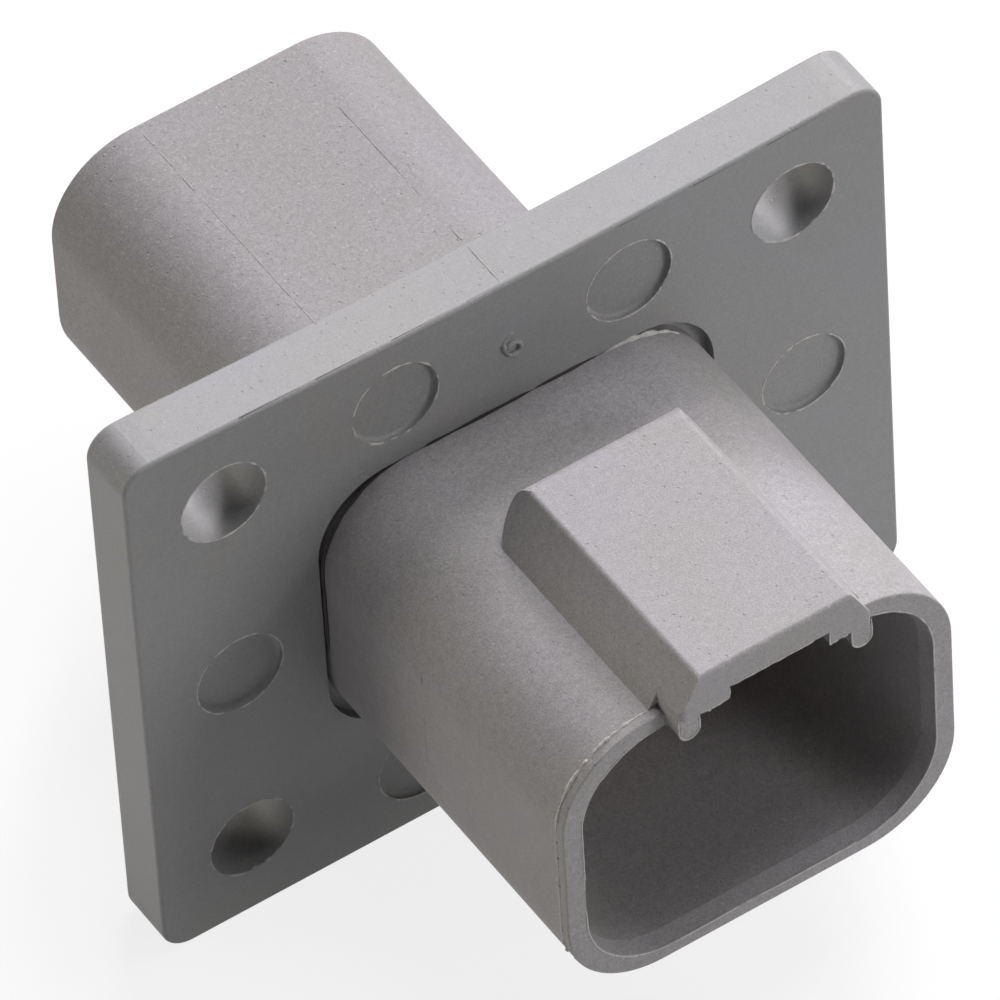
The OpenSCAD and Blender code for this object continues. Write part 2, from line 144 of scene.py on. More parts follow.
# Underside of the latch pad, seen from the front: feet, shelves and the channel between them.
FOOT_IN_LEFT, FOOT_IN_RIGHT = -3.825, 4.425
FOOT_OUT_LEFT, FOOT_OUT_RIGHT = -4.9, 5.5
FOOT_R = (FOOT_IN_LEFT - FOOT_OUT_LEFT) / 2
FOOT_BOTTOM = 7.4
FOOT_TOP = 9.2
SHELF_Z = 8.85
CEILING_Z = 9.65
CHANNEL_LEFT, CHANNEL_RIGHT = -2.25, 3.15
FOOT_SETBACK = 0.15

# The latch pad seen from the front: it narrows upwards, and a mould line runs along its foot.
PAD_W = 11.4
PAD_TOP_W = 8.25
PAD_TOP = SHELL_HIGH.z
PAD_SHIFT = (FOOT_OUT_LEFT + FOOT_OUT_RIGHT) / 2
PAD_LINE_Z = 8.25
PAD_LINE_BACK_Y, PAD_LINE_FRONT_Y = -7.5, RIM_Y + 0.6

# Round marks of the ejector pins on the flange's front face: four inner ones and one at each side.
MARK_R = 2.3
MARK_MIDDLE_X = 0.15
MARK_INNER_X, MARK_OUTER_X = 6.35, 15.55
MARK_TOP_Z, MARK_SIDE_Z, MARK_BOTTOM_Z = 12.25, -0.2, -12.65
MARKS = [(MARK_MIDDLE_X + side * reach, z)
         for reach, z in ((MARK_INNER_X, MARK_TOP_Z), (MARK_INNER_X, MARK_BOTTOM_Z),
                          (MARK_OUTER_X, MARK_SIDE_Z))
         for side in (-1, 1)]

# The rims round marks and bolt holes: how far outside, and from which degree to which.
RIM_OUTSET = 0.03
RIM_START, RIM_END = 60, 415

# Where flash and joint line run, in millimetres round the shroud from its top middle. The pocket's flash
# and the joint's right stretch run to the right, the others to the left.
HEAVY_FLASH = (5.4, 13.2)
BROKEN_FLASH = (13.0, 26.5)
POCKET_FLASH = (5.0, 9.4)
JOINT_ON_RIGHT = (0.0, 4.9)
JOINT_ON_LEFT = (0.1, 18.6)
# The painted highlight on the mouth's edge leaves this much free on each side of the top middle, at the latch
# pad.
HIGHLIGHT_FREE_LEFT, HIGHLIGHT_FREE_RIGHT = 4.95, 5.55
# The middles of pocket flash and joint line lie this little in front of the flange's face.
POCKET_FLASH_Y, JOINT_Y = -0.03, -0.01

# Mould lines beside the latch pad: along the ear's edge, and from the foot's outside to its inside.
EAR_LINE_BACK_Y, EAR_LINE_FRONT_Y = RIM_Y + 0.9, PAD_Y + 0.25
FOOT_LINE_BACK_Y, FOOT_LINE_END_Z = PAD_Y + 0.1, SHELF_Z + 0.02

# Mould lines on the rear body's top, on the shell's left side and across the flange's top edge.
TOP_LINES_START_Y = FLANGE_T + 4.5
LEFT_LINE_X, LEFT_LINE_END_Y = -4.25, REAR_Y - 0.5
RIGHT_LINE_X, RIGHT_LINE_END_Y = 4.05, REAR_Y - 4.5
SIDE_LINE_Y, SIDE_LINE_TOP, SIDE_LINE_BOTTOM = -8.0, 4.2, -3.2
FLANGE_LINE_X, FLANGE_LINE_Z, FLANGE_LINE_MARGIN = -0.15, FLANGE_HIGH.z - 0.39, 0.3

# Crumbs of flash under the left shelf: x, how far below the shelf, and radius.
CRUMBS = ((-3.55, 0.0, 0.06), (-3.35, 0.05, 0.1), (-3.1, 0.03, 0.09), (-2.92, 0.02, 0.07))
CRUMB_LENGTH, CRUMB_DEPTH, CRUMB_ROUGH = 1.3, 0.8, 0.5

# The mould figure. The middle of its bowl is a place on the flange, and neck and hook are counted from it.
FIGURE_X, FIGURE_Z = 0.14, 11.86
BOWL_R = 0.38
NECK_X, NECK_Z = 0.12, 0.3
NECK_RX, NECK_RZ = 0.62, 0.68
HOOK = ((0.42, 1.0), (0.1, 0.98))
NECK_DEGREES = range(110, 181, 14)
BOWL_DEGREES = range(185, 536, 25)

# A moulded line's sides, and the least share of its size that it keeps along its run and at its ends.
THREAD_SIDES = 8
THREAD_LEAST = 0.12
THREAD_END = 0.15
# How sharply it dips at a gap, how frayed that is, and how deep it goes, as a share of its height.
GAP_STEEPNESS = 4
GAP_FRAY = 0.3
GAP_DEPTH = 1.6
# Gaps follow a slower noise: this many times longer than the grain, on a row of its own.
SLOW_STRETCH = 4
SLOW_ROW = 9.0

TO_FRONT = Vector((0, -1, 0))
TO_LEFT = Vector((-1, 0, 0))
TO_TOP = Vector((0, 0, 1))


def linear(code):
    """An sRGB hex colour as the linear values that the shaders take, solid."""
    parts = [int(code[i:i + 2], 16) / 255 for i in (1, 3, 5)]
    return [p / 12.92 if p <= 0.04045 else ((p + 0.055) / 1.055) ** 2.4 for p in parts] + [1.0]


def add(tree, kind, settings=None, inputs=None):
    """One node with its settings. An input is a value, or another node's output to link."""
    made = tree.nodes.new(kind)
    for name, value in (settings or {}).items():
        setattr(made, name, value)
    for socket, value in (inputs or {}).items():
        if isinstance(value, bpy.types.NodeSocket):
            tree.links.new(value, made.inputs[socket])
        else:
            made.inputs[socket].default_value = value
    return made


def new_material(name):
    """A material and its empty node tree, to be filled by the finish."""
    made = bpy.data.materials.new(name)
    made.use_nodes = True
    made.node_tree.nodes.clear()
    return made, made.node_tree


def direction(azimuth, elevation):
    """Unit vector from the part towards azimuth and elevation, where 0 is the front and 90 the right."""
    a, e = math.radians(azimuth), math.radians(elevation)
    return Vector((math.sin(a) * math.cos(e), -math.cos(a) * math.cos(e), math.sin(e)))


def dots(tree, place, cell_mm, radius_mm, share, seed):
    """Soft round dots, one at most in a cell: how far inside its dot a place is, and the cell's chance."""
    shifted = add(tree, "ShaderNodeVectorMath", {"operation": "ADD"}, {0: place, 1: (seed, -seed, 2 * seed)})
    cells = add(tree, "ShaderNodeTexVoronoi", None,
                {"Vector": shifted.outputs[0], "Scale": 1 / (cell_mm * MM)})
    chance = add(tree, "ShaderNodeSeparateColor", None, {"Color": cells.outputs["Color"]})
    radius = radius_mm / cell_mm
    reach = add(tree, "ShaderNodeMapRange", None,
                {"Value": chance.outputs["Red"], "From Min": 1 - share, "From Max": 1.0, "To Max": radius})
    inside = add(tree, "ShaderNodeMath", {"operation": "SUBTRACT"},
                 {0: reach.outputs["Result"], 1: cells.outputs["Distance"]})
    soft = add(tree, "ShaderNodeMapRange", {"interpolation_type": "SMOOTHSTEP"},
               {"Value": inside.outputs[0], "From Max": DOT_EDGE * radius})
    return soft.outputs["Result"], chance.outputs["Green"]


def shaded(tree, colour, pattern, depth, low=NOISE_LOW, high=NOISE_HIGH):
    """A colour that a pattern makes darker where it is low and paler where it is high, by the share depth.
    A depth below nothing turns that round."""
    factor = add(tree, "ShaderNodeMapRange", None,
                 {"Value": pattern, "From Min": low, "From Max": high,
                  "To Min": 1 - depth, "To Max": 1 + depth})
    made = add(tree, "ShaderNodeMix", {"data_type": "RGBA", "blend_type": "MULTIPLY"},
               {"Factor": 1.0, 6: colour, 7: factor.outputs["Result"]})
    return made.outputs[2]


def nylon_colour(tree, place, mottle, grain, tones, flecks, paler, depth):
    """The nylon's colour: two greys that drift into each other, with mottle, grain, pale flecks for fibre
    ends and painted glints, and dark specks. With paler set, the mouth is painted paler and the wire end
    darker, as painted light."""
    tone, tone_warm, pale, dark = tones
    drift = add(tree, "ShaderNodeTexNoise", None,
                {"Vector": place, "Scale": 1 / (DRIFT_MM * MM), "Detail": 2.0})
    warmth = add(tree, "ShaderNodeMapRange", None,
                 {"Value": drift.outputs["Fac"], "From Min": DRIFT_LOW, "From Max": DRIFT_HIGH})
    body = add(tree, "ShaderNodeMix", {"data_type": "RGBA"},
               {"Factor": warmth.outputs["Result"], 6: linear(tone), 7: linear(tone_warm)})
    along = add(tree, "ShaderNodeSeparateXYZ", None, {"Vector": place}).outputs["Y"]
    # Painted light: paler towards the mouth and darker towards the wire end, by the share paler.
    colour = shaded(tree, body.outputs[2], along, -paler, MOUTH_END, WIRE_END)
    colour = shaded(tree, colour, mottle, MOTTLE_SHARE * depth)
    colour = shaded(tree, colour, grain, depth)
    for tint, sizes in ((pale, PALE_FLECKS), (dark, DARK_FLECKS)):
        cover, _ = dots(tree, place, *sizes)
        strength = add(tree, "ShaderNodeMath", {"operation": "MULTIPLY"}, {0: cover, 1: flecks})
        flecked = add(tree, "ShaderNodeMix", {"data_type": "RGBA"},
                      {"Factor": strength.outputs[0], 6: colour, 7: linear(tint)})
        colour = flecked.outputs[2]
    return colour


def nylon_relief(tree, place, grain, grain_mm, pimple_mm):
    """The nylon's relief: its fine grain, and pimples and pits of up to pimple_mm."""
    pimple, chance = dots(tree, place, *PIMPLES)
    way = add(tree, "ShaderNodeMapRange", None,
              {"Value": chance, "To Min": -pimple_mm, "To Max": pimple_mm})
    fine = add(tree, "ShaderNodeMath", {"operation": "MULTIPLY"}, {0: grain, 1: grain_mm})
    height = add(tree, "ShaderNodeMath", {"operation": "MULTIPLY_ADD"},
                 {0: pimple, 1: way.outputs["Result"], 2: fine.outputs[0]})
    relief = add(tree, "ShaderNodeBump", None, {"Height": height.outputs[0], "Distance": MM, "Strength": 1.0})
    return relief.outputs["Normal"]


def moulded_nylon(name, tones, rough, grain_mm, pimple_mm, flecks, paler=0.0, depth=0.13):
    """Glass-filled nylon, injection moulded against a fine spark-eroded steel face.
    The eye sees a matte grey broken by fine grain, by pimples and pits that catch the light,
    by pale flecks (fibre ends and painted glints), dark specks and a slow drift between warmer and cooler
    grey.
    The real grain is about 0.03 mm. It is drawn at 0.1 mm, the finest that still shows."""
    made, tree = new_material(name)
    place = add(tree, "ShaderNodeTexCoord").outputs["Object"]
    mottling = add(tree, "ShaderNodeTexNoise", None,
                   {"Vector": place, "Scale": 1 / (MOTTLE_MM * MM), "Detail": 3.0})
    graining = add(tree, "ShaderNodeTexNoise", None,
                   {"Vector": place, "Scale": 1 / (GRAIN_MM * MM), "Detail": 1.0, "Roughness": 0.6})
    mottle, grain = mottling.outputs["Fac"], graining.outputs["Fac"]
    colour = nylon_colour(tree, place, mottle, grain, tones, flecks, paler, depth)
    relief = nylon_relief(tree, place, grain, grain_mm, pimple_mm)
    dull = add(tree, "ShaderNodeMapRange", None,
               {"Value": mottle, "From Min": NOISE_LOW, "From Max": NOISE_HIGH,
                "To Min": rough - ROUGH_SPREAD, "To Max": rough + ROUGH_SPREAD})
    shader = add(tree, "ShaderNodeBsdfPrincipled", None,
                 {"Base Color": colour, "Normal": relief, "IOR": NYLON_IOR,
                  "Roughness": dull.outputs["Result"]})
    add(tree, "ShaderNodeOutputMaterial", None, {"Surface": shader.outputs[0]})
    return made


def plain_finish(name, tone, grain_mm, bump_mm, rough, metallic=0.0, ior=None):
    """A surface with one fine grain in its tone and relief, drawn coarser than the real one so that it
    shows. Without an ior it keeps the shader's own."""
    made, tree = new_material(name)
    place = add(tree, "ShaderNodeTexCoord").outputs["Object"]
    grain = add(tree, "ShaderNodeTexNoise", None,
                {"Vector": place, "Scale": 1 / (grain_mm * MM), "Detail": 3.0})
    colour = shaded(tree, linear(tone), grain.outputs["Fac"], PLAIN_DEPTH)
    relief = add(tree, "ShaderNodeBump", None,
                 {"Height": grain.outputs["Fac"], "Distance": bump_mm * MM, "Strength": 1.0})
    inputs = {"Base Color": colour, "Roughness": rough, "Metallic": metallic,
              "Normal": relief.outputs["Normal"]}
    if ior:
        inputs["IOR"] = ior
    shader = add(tree, "ShaderNodeBsdfPrincipled", None, inputs)
    add(tree, "ShaderNodeOutputMaterial", None, {"Surface": shader.outputs[0]})
    return made


def coat(node, material):
    """Gives a CAD node its finish."""
    frame["nodes"][node].data.materials.clear()
    frame["nodes"][node].data.materials.append(material)


def spot(x, y, z):
    """A place in metres from millimetres, with y counted from the flange's front face."""
    return Vector((x, y + FACE_Y, z)) * MM


def show(name, mesh, material):
    """Turns a finished mesh into a piece that rides with the part."""
    data = bpy.data.meshes.new(name)
    mesh.normal_update()
    mesh.to_mesh(data)
    mesh.free()
    data.shade_smooth()
    data.materials.append(material)
    piece = bpy.data.objects.new(name, data)
    scene.collection.objects.link(piece)
    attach(piece, "root")


def thread(mesh, path, width, height, seed, rough=0.35, grain=0.5, gaps=0.0, taper=0.5):
    """A thin moulded line: a closed tube, oval across, that follows the surface half sunk into it.
    Each step of the path is a place and the surface's outward normal, in metres. Sizes are in mm.
    The line swells and shrinks as flash does, dips under the surface at its gaps and tapers at its ends."""
    lengths = [0.0]
    for (a, _), (b, _) in zip(path, path[1:]):
        lengths.append(lengths[-1] + (b - a).length / MM)
    rings = []
    for i, (place, normal) in enumerate(path):
        along = path[min(i + 1, len(path) - 1)][0] - path[max(i - 1, 0)][0]
        across = along.cross(normal).normalized()
        wander = noise.noise(Vector((lengths[i] / grain, seed, 0.0)))
        slow = noise.noise(Vector((lengths[i] / (SLOW_STRETCH * grain), seed, SLOW_ROW)))
        near_end = min(lengths[i], lengths[-1] - lengths[i])
        swell = (1 + rough * 2 * wander) * min(1.0, THREAD_END + near_end / taper)
        swell = max(THREAD_LEAST, swell)
        sink = height * max(0.0, gaps - slow - GAP_FRAY * wander) * GAP_STEEPNESS
        middle = place - normal * min(sink, GAP_DEPTH * height * swell) * MM
        ring = []
        for k in range(THREAD_SIDES):
            turn = math.tau * k / THREAD_SIDES
            reach = across * math.cos(turn) * width / 2 + normal * math.sin(turn) * height
            ring.append(mesh.verts.new(middle + reach * swell * MM))
        rings.append(ring)
    for low, high in zip(rings, rings[1:]):
        for k in range(THREAD_SIDES):
            after = (k + 1) % THREAD_SIDES
            mesh.faces.new((low[k], low[after], high[after], high[k]))
    mesh.faces.new(list(reversed(rings[0])))
    mesh.faces.new(rings[-1])


def round_loop(width, height, radius, s):
    """Place and outward normal at the length s round a rounded rectangle, from its top middle to the left."""
    flat, side, turn = width / 2 - radius, height - 2 * radius, math.pi * radius / 2
    place, angle = Vector((0.0, height / 2)), 0.0
    for length, bends in ((flat, False), (turn, True), (side, False), (turn, True), (2 * flat, False),
                          (turn, True), (side, False), (turn, True), (flat, False)):
        run = min(s, length)
        normal = Vector((-math.sin(angle), math.cos(angle)))
        if bends:
            middle = place - normal * radius
            angle += run / radius
            place = middle + Vector((-math.sin(angle), math.cos(angle))) * radius
        else:
            place = place + Vector((-normal.y, normal.x)) * run
        s -= run
        if s <= 0:
            break
    return place, Vector((-math.sin(angle), math.cos(angle)))


def loop_path(width, height, radius, start, end, y, lean, step=0.12):
    """Part of a rounded rectangle at the depth y. lean turns the normal from front (0) to outside (1)."""
    path = []
    count = max(2, int((end - start) / step))
    for i in range(count + 1):
        place, out = round_loop(width, height, radius, start + (end - start) * i / count)
        normal = Vector((out.x * lean, -(1 - abs(lean)), out.y * lean)).normalized()
        path.append((spot(place.x, y, place.y), normal))
    return path


def straight_path(corners, normal, step=0.12):
    """A path through corners given in mm, with y from the flange's front face, cut into even steps."""
    points = [spot(*c) for c in corners]
    path = []
    for a, b in zip(points, points[1:]):
        count = max(1, int((b - a).length / MM / step))
        path += [(a.lerp(b, i / count), normal) for i in range(count)]
    path.append((points[-1], normal))
    return path


def ring_path(x, z, radius, start, end, step=0.1):
    """An arc on the flange's front face, with angles in degrees from the right, upwards first."""
    count = max(4, int(math.radians(abs(end - start)) * radius / step))
    path = []
    for i in range(count + 1):
        turn = math.radians(start + (end - start) * i / count)
        path.append((spot(x + radius * math.cos(turn), 0.0, z + radius * math.sin(turn)), TO_FRONT))
    return path


def mirrored(path):
    """The same path on the other side of the part."""
    return [(Vector((-p.x, p.y, p.z)), Vector((-n.x, n.y, n.z))) for p, n in path]


def set_camera():
    """The camera at the photo's viewing angle."""
    data = bpy.data.cameras.new("photo_camera")
    data.lens, data.sensor_width = LENS_MM, SENSOR_MM
    camera = bpy.data.objects.new("photo_camera", data)
    scene.collection.objects.link(camera)
    back = direction(CAMERA_AZIMUTH, CAMERA_ELEVATION)
    camera.rotation_mode = "QUATERNION"
    camera.rotation_quaternion = (back.to_track_quat("Z", "Y")
                                  @ Quaternion((0, 0, 1), math.radians(CAMERA_ROLL)))
    camera.location = CAMERA_AIM + CAMERA_DISTANCE * back
    scene.camera = camera


def hang_lamps():
    """Soft boxes round the part: keys behind and to the right, as the shadows show, and fills from above,
    from the front and from the left."""
    for name, (azimuth, elevation, level, width, tint) in LAMPS.items():
        data = bpy.data.lights.new(name, "AREA")
        data.shape, data.size = "DISK", width
        data.energy = level * (math.pi * LAMP_DISTANCE) ** 2
        data.color = linear(tint)[:3]
        lamp = bpy.data.objects.new(name, data)
        scene.collection.objects.link(lamp)
        place = direction(azimuth, elevation)
        lamp.location = place * LAMP_DISTANCE
        lamp.rotation_mode = "QUATERNION"
        lamp.rotation_quaternion = place.to_track_quat("Z", "Y")
        lamp.visible_camera = False


def set_sky():
    """A dim room, brighter from above and behind, and plain white where the camera sees it."""
    world = bpy.data.worlds.new("studio_room")
    scene.world = world
    world.use_nodes = True
    tree = world.node_tree
    tree.nodes.clear()
    way = add(tree, "ShaderNodeTexCoord").outputs["Generated"]
    facing = add(tree, "ShaderNodeVectorMath", {"operation": "DOT_PRODUCT"},
                 {0: way, 1: direction(*SKY_BRIGHT_WAY)})
    level = add(tree, "ShaderNodeMapRange", {"interpolation_type": "SMOOTHSTEP"},
                {"Value": facing.outputs["Value"], "From Min": -1.0, "To Min": SKY_LOW, "To Max": SKY_HIGH})
    light = add(tree, "ShaderNodeBackground", None,
                {"Color": linear(WHITE), "Strength": level.outputs["Result"]})
    white = add(tree, "ShaderNodeBackground", None, {"Color": linear(WHITE), "Strength": 1.0})
    path = add(tree, "ShaderNodeLightPath")
    seen = add(tree, "ShaderNodeMath", {"operation": "MAXIMUM"},
               {0: path.outputs["Is Camera Ray"], 1: path.outputs["Is Transmission Ray"]})
    both = add(tree, "ShaderNodeMixShader", None,
               {0: seen.outputs[0], 1: light.outputs[0], 2: white.outputs[0]})
    add(tree, "ShaderNodeOutputWorld", None, {"Surface": both.outputs[0]})


def lay_floor():
    """A plain white floor under the part. It lights the part from below as white paper does.
    Where it is looked at it glows up to white and keeps the part's shadow. From below it isn't seen."""
    half, low = FLOOR_SIZE / 2, cad_box[0].z
    mesh = bpy.data.meshes.new("floor")
    mesh.from_pydata([(-half, -half, low), (half, -half, low), (half, half, low), (-half, half, low)],
                     [], [(0, 1, 2, 3)])
    floor = bpy.data.objects.new("floor", mesh)
    scene.collection.objects.link(floor)
    made, tree = new_material("white_floor")
    path = add(tree, "ShaderNodeLightPath")
    side = add(tree, "ShaderNodeNewGeometry")
    seen = add(tree, "ShaderNodeMath", {"operation": "MAXIMUM"},
               {0: path.outputs["Is Camera Ray"], 1: path.outputs["Is Glossy Ray"]})
    tone = add(tree, "ShaderNodeMix", {"data_type": "RGBA"},
               {"Factor": seen.outputs[0], 6: linear(FLOOR_LIGHTING_TONE), 7: linear(FLOOR_SEEN_TONE)})
    matte = add(tree, "ShaderNodeBsdfDiffuse", None, {"Color": tone.outputs[2]})
    lift = add(tree, "ShaderNodeMath", {"operation": "MULTIPLY"}, {0: seen.outputs[0], 1: FLOOR_GLOW})
    glow = add(tree, "ShaderNodeEmission", None, {"Color": linear(WHITE), "Strength": lift.outputs[0]})
    lit = add(tree, "ShaderNodeAddShader", None, {0: matte.outputs[0], 1: glow.outputs[0]})
    clear = add(tree, "ShaderNodeBsdfTransparent")
    both = add(tree, "ShaderNodeMixShader", None,
               {0: side.outputs["Backfacing"], 1: lit.outputs[0], 2: clear.outputs[0]})
    add(tree, "ShaderNodeOutputMaterial", None, {"Surface": both.outputs[0]})
    mesh.materials.append(made)


def rim_flash(material):
    """Pale flash where the mould closed behind the mouth's rim, heavy at the top left, broken lower down."""
    mesh = bmesh.new()
    heavy = loop_path(SHROUD_W, SHROUD_H, SHROUD_R, *HEAVY_FLASH, FLASH_Y, lean=1.0, step=0.06)
    thread(mesh, heavy, width=0.17, height=0.075, seed=1.7, rough=0.6, grain=0.3, gaps=-0.45)
    broken = loop_path(SHROUD_W, SHROUD_H, SHROUD_R, *BROKEN_FLASH, FLASH_Y, lean=1.0, step=0.06)
    thread(mesh, broken, width=0.13, height=0.06, seed=5.1, rough=0.8, grain=0.22, gaps=-0.08)
    show("rim_flash", mesh, material)


def painted_mouth_edge_highlight(material):
    """A pale thread along the inner edge of the mouth's rim, all round up to the latch pad: a painted
    highlight.
    """
    mesh = bmesh.new()
    width, height = SHROUD_W - 2 * WALL, SHROUD_H - 2 * WALL_ABOVE
    around = 2 * (width + height) - (8 - math.tau) * MOUTH_R
    lip = loop_path(width, height, MOUTH_R, HIGHLIGHT_FREE_LEFT, around - HIGHLIGHT_FREE_RIGHT, RIM_Y, lean=-0.35)
    thread(mesh, lip, width=0.1, height=0.035, seed=2.9, rough=0.25, grain=0.8)
    show("painted_mouth_edge_highlight", mesh, material)


def painted_pad_edge_highlights(material):
    """Pale threads round the underside of the latch pad: foot, shelf, channel, shelf and foot. They are
    painted highlights on those edges.
    """
    mesh = bmesh.new()
    front = Vector((0, -1, -0.4)).normalized()
    left = [(FOOT_IN_LEFT, PAD_Y, SHELF_Z), (CHANNEL_LEFT, PAD_Y, SHELF_Z), (CHANNEL_LEFT, PAD_Y, CEILING_Z)]
    thread(mesh, straight_path(left, front), width=0.09, height=0.04, seed=3.3, grain=0.3)
    top = [(CHANNEL_LEFT, PAD_Y, CEILING_Z), (CHANNEL_RIGHT, PAD_Y, CEILING_Z)]
    thread(mesh, straight_path(top, front), width=0.09, height=0.04, seed=4.1, rough=0.3)
    right = [(CHANNEL_RIGHT, PAD_Y, CEILING_Z), (CHANNEL_RIGHT, PAD_Y, SHELF_Z),
             (FOOT_IN_RIGHT, PAD_Y, SHELF_Z)]
    thread(mesh, straight_path(right, front), width=0.09, height=0.04, seed=5.9, grain=0.3)
    feet_y = PAD_Y + FOOT_SETBACK
    steps = 12
    for inner, outer in ((FOOT_IN_LEFT, FOOT_OUT_LEFT), (FOOT_IN_RIGHT, FOOT_OUT_RIGHT)):
        centre, sign = (inner + outer) / 2, math.copysign(1, inner - outer)
        corners = [(inner, feet_y, SHELF_Z)]
        for k in range(steps + 1):
            turn = math.pi * k / steps
            corners.append((centre + sign * FOOT_R * math.cos(turn), feet_y,
                            FOOT_BOTTOM + FOOT_R - FOOT_R * math.sin(turn)))
        corners.append((outer, feet_y, SHELF_Z + 0.1))
        thread(mesh, straight_path(corners, TO_FRONT), width=0.1, height=0.045, seed=6.7 + inner, rough=0.2)
    show("painted_pad_edge_highlights", mesh, material)


def ear_lines(material):
    """Where two mould parts met beside the latch pad: pale lines along the ear, its foot and the pad's side.
    Their pale tone also paints the highlights on those edges.
    """
    mesh = bmesh.new()
    out = Vector((-0.7, 0, 0.7)).normalized()
    ear = [(FOOT_OUT_LEFT, EAR_LINE_BACK_Y, FOOT_TOP), (FOOT_OUT_LEFT, EAR_LINE_FRONT_Y, SHELF_Z)]
    thread(mesh, straight_path(ear, out), width=0.07, height=0.03, seed=7.3)
    foot = [(FOOT_OUT_LEFT, FOOT_LINE_BACK_Y, SHELF_Z), (FOOT_IN_LEFT, PAD_Y, FOOT_LINE_END_Z)]
    thread(mesh, straight_path(foot, TO_FRONT), width=0.08, height=0.03, seed=8.1)
    lean = math.atan2((PAD_W - PAD_TOP_W) / 2, PAD_TOP - SHROUD_H / 2)
    above = PAD_LINE_Z - SHROUD_H / 2
    side_x = PAD_SHIFT - PAD_W / 2 + above * math.tan(lean)
    side = [(side_x, PAD_LINE_BACK_Y, PAD_LINE_Z), (side_x, PAD_LINE_FRONT_Y, PAD_LINE_Z)]
    side_out = Vector((-math.cos(lean), 0, math.sin(lean)))
    thread(mesh, straight_path(side, side_out), width=0.11, height=0.05, seed=12.7,
           rough=0.4, grain=0.8, gaps=-0.15)
    show("ear_lines", mesh, material)


def crumb(mesh, place, radius, seed):
    """A small rough lump of flash, centred on the edge it hangs from."""
    made = bmesh.ops.create_icosphere(mesh, subdivisions=2, radius=radius * MM)["verts"]
    for vert in made:
        swell = 1 + CRUMB_ROUGH * noise.noise(vert.co / (radius * MM) + Vector((seed, 0, 0)))
        shape = Vector((vert.co.x * CRUMB_LENGTH, vert.co.y * CRUMB_DEPTH, vert.co.z))
        vert.co = shape * swell + place


def shelf_crumbs(material):
    """Crumbs of flash under the left shelf's front edge."""
    mesh = bmesh.new()
    for x, drop, radius in CRUMBS:
        crumb(mesh, spot(x, PAD_Y + 0.05, SHELF_Z - drop), radius, seed=10 * x)
    show("shelf_crumbs", mesh, material)


def pocket_flash(material):
    """A crusty strip of flash that hugs the shell where it leaves the flange's pocket, at the top right."""
    mesh = bmesh.new()
    corner = loop_path(SHROUD_W, SHROUD_H, SHROUD_R, *POCKET_FLASH, POCKET_FLASH_Y, lean=0.3, step=0.05)
    thread(mesh, mirrored(corner), width=0.38, height=0.09, seed=11.3, rough=0.45, grain=0.45, taper=1.6)
    show("pocket_flash", mesh, material)


def joint_line(material):
    """A dark thread that paints the shade in the gap between flange and shell: along the top and down the
    left side.
    """
    mesh = bmesh.new()
    gap = 0.05
    joint = (SHROUD_W + 2 * gap, SHROUD_H + 2 * gap, SHROUD_R + gap)
    right = mirrored(loop_path(*joint, *JOINT_ON_RIGHT, JOINT_Y, lean=0.0))
    left = loop_path(*joint, *JOINT_ON_LEFT, JOINT_Y, lean=0.0)
    thread(mesh, right[::-1] + left, width=0.26, height=0.05, seed=15.3, rough=0.2, grain=1.1, taper=1.5)
    show("joint_line", mesh, material)


def face_rims(material):
    """Thin raised rims round the ejector marks and the bolt holes, broken here and there. Their pale tone
    also paints the highlights on the edges.
    """
    pattern = MOUNTS["flange_bolts"]["dims"]
    holes = [(sx * pattern["spacing_x_mm"] / 2, sz * pattern["spacing_y_mm"] / 2)
             for sx in (-1, 1) for sz in (-1, 1)]
    for group, places, radius in (("ejector_mark_rims", MARKS, MARK_R),
                                  ("bolt_hole_rims", holes, pattern["hole_r_mm"])):
        mesh = bmesh.new()
        for number, (x, z) in enumerate(places):
            rim = ring_path(x, z, radius + RIM_OUTSET, RIM_START, RIM_END)
            thread(mesh, rim, width=0.085, height=0.028, seed=20.3 + 3.7 * number + radius,
                   rough=0.6, grain=0.35, gaps=0.02)
        show(group, mesh, material)


def mould_figure(material):
    """The mould's cavity number, a raised figure on the flange's front face: a hook, a neck and a bowl."""
    mesh = bmesh.new()
    corners = [(FIGURE_X + x, 0.0, FIGURE_Z + z) for x, z in HOOK]
    for degrees in NECK_DEGREES:
        turn = math.radians(degrees)
        corners.append((FIGURE_X + NECK_X + NECK_RX * math.cos(turn), 0.0,
                        FIGURE_Z + NECK_Z + NECK_RZ * math.sin(turn)))
    for degrees in BOWL_DEGREES:
        turn = math.radians(degrees)
        corners.append((FIGURE_X + BOWL_R * math.cos(turn), 0.0, FIGURE_Z + BOWL_R * math.sin(turn)))
    thread(mesh, straight_path(corners, TO_FRONT, step=0.05), width=0.28, height=0.2, seed=30.1,
           rough=0.15, taper=0.15)
    show("mould_figure", mesh, material)


def flange_top_line(material):
    """A fine line across the flange's top edge, where two parts of the mould met."""
    mesh = bmesh.new()
    line = [(FLANGE_LINE_X, FLANGE_LINE_MARGIN, FLANGE_LINE_Z),
            (FLANGE_LINE_X, FLANGE_T - FLANGE_LINE_MARGIN, FLANGE_LINE_Z)]
    thread(mesh, straight_path(line, TO_TOP), width=0.09, height=0.02, seed=31.3)
    show("flange_top_line", mesh, material)


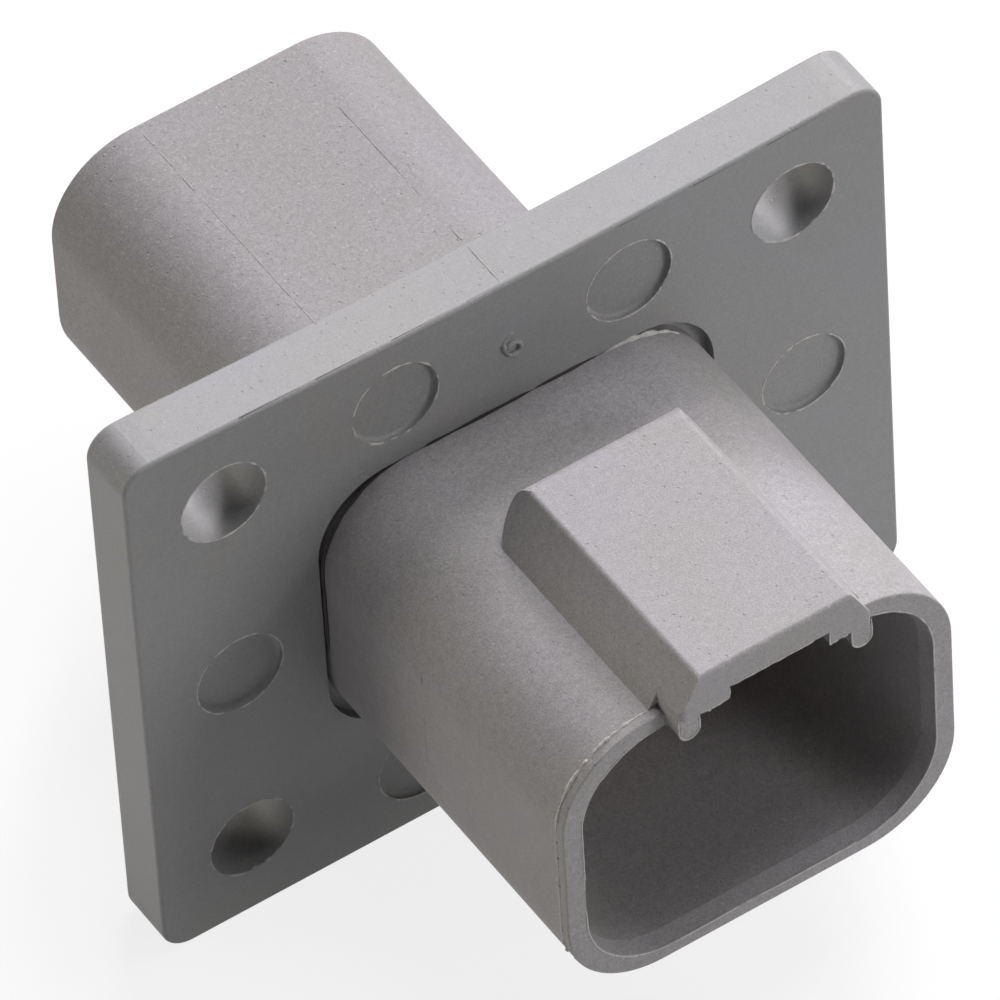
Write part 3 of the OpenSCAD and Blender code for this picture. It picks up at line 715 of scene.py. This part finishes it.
def shell_mould_lines(material):
    """Fine lines that the mould's joints left: two along the rear body's top and one down the left side."""
    mesh = bmesh.new()
    left = [(LEFT_LINE_X, TOP_LINES_START_Y, REAR_TOP), (LEFT_LINE_X, LEFT_LINE_END_Y, REAR_TOP)]
    thread(mesh, straight_path(left, TO_TOP), width=0.09, height=0.016, seed=33.1,
           rough=0.6, grain=0.9, gaps=-0.1)
    right = [(RIGHT_LINE_X, TOP_LINES_START_Y, REAR_TOP), (RIGHT_LINE_X, RIGHT_LINE_END_Y, REAR_TOP)]
    thread(mesh, straight_path(right, TO_TOP), width=0.1, height=0.025, seed=35.7,
           rough=0.4, grain=0.9, gaps=-0.3)
    side = [(SHELL_LOW.x, SIDE_LINE_Y, SIDE_LINE_TOP), (SHELL_LOW.x, SIDE_LINE_Y, SIDE_LINE_BOTTOM)]
    thread(mesh, straight_path(side, TO_LEFT), width=0.1, height=0.02, seed=37.7, rough=0.5, grain=0.9)
    show("shell_mould_lines", mesh, material)


scene.view_settings.view_transform = "Standard"
set_camera()
hang_lamps()
set_sky()
lay_floor()

# Each nylon's tones: cool grey, warm grey, pale flecks and dark flecks.
# The shell's nylon is matte and open in its grain.
# Its tone is painted paler at the mouth and darker at the wire end: a painted fall-off of light.
shell_nylon = moulded_nylon("glass_filled_nylon_fine_matte", ("#A3A1A4", "#A2A09F", "#C4C2C2", "#636265"),
                            rough=0.66, grain_mm=0.012, pimple_mm=0.032, flecks=0.5, paler=0.12)
# The flange's nylon came from a smoother mould face, so its grain is quieter and it shines a little more.
flange_nylon = moulded_nylon("glass_filled_nylon_smooth_moulded",
                             ("#9B9C9E", "#9B9B9A", "#B9B9BA", "#57585B"),
                             rough=0.55, grain_mm=0.006, pimple_mm=0.018, flecks=0.3, depth=0.08)
# Flash is the same nylon, so thin that it looks pale. The same pale tone paints highlights on fine edges.
flash_and_highlight_nylon = moulded_nylon("pale_flash_and_painted_highlights", ("#C4C2C0", "#CCC9C4", "#E0DFDE", "#8A8989"),
                            rough=0.45, grain_mm=0.02, pimple_mm=0.02, flecks=0.4)
# Moulded silicone rubber has a soft satin shine and almost no grain.
silicone = plain_finish("silicone_rubber_satin", "#5B646E", grain_mm=0.2, bump_mm=0.004, rough=0.45,
                        ior=SILICONE_IOR)
# The lock's unfilled nylon is strongly coloured and a little glossier than the grey mouldings.
orange_nylon = plain_finish("orange_moulded_nylon", "#8A3F1C", grain_mm=0.15, bump_mm=0.006, rough=0.5,
                            ior=NYLON_IOR)
# Nickel plating on a turned pin is a bright, slightly warm metal. Its faint unevenness is drawn as grain.
nickel = plain_finish("nickel_plated_turned_pin", "#CFCBC2", grain_mm=0.1, bump_mm=0.002, rough=0.28,
                      metallic=1.0)
# Painted shade for the joint's gap: dark, rough and dead matte.
painted_joint_shade = plain_finish("painted_shade_in_the_joint", "#3A3937", grain_mm=0.15, bump_mm=0.02, rough=0.8)

coat("receptacle_shell", shell_nylon)
coat("mounting_flange", flange_nylon)
coat("rear_wire_seal", silicone)
coat("wedge_lock", orange_nylon)
for number in range(1, 5):
    coat(f"contact_pin_{number}", nickel)

rim_flash(flash_and_highlight_nylon)
painted_mouth_edge_highlight(flash_and_highlight_nylon)
painted_pad_edge_highlights(flash_and_highlight_nylon)
ear_lines(flash_and_highlight_nylon)
shelf_crumbs(flash_and_highlight_nylon)
pocket_flash(flash_and_highlight_nylon)
joint_line(painted_joint_shade)
face_rims(flash_and_highlight_nylon)
mould_figure(flange_nylon)
flange_top_line(flange_nylon)
shell_mould_lines(shell_nylon)
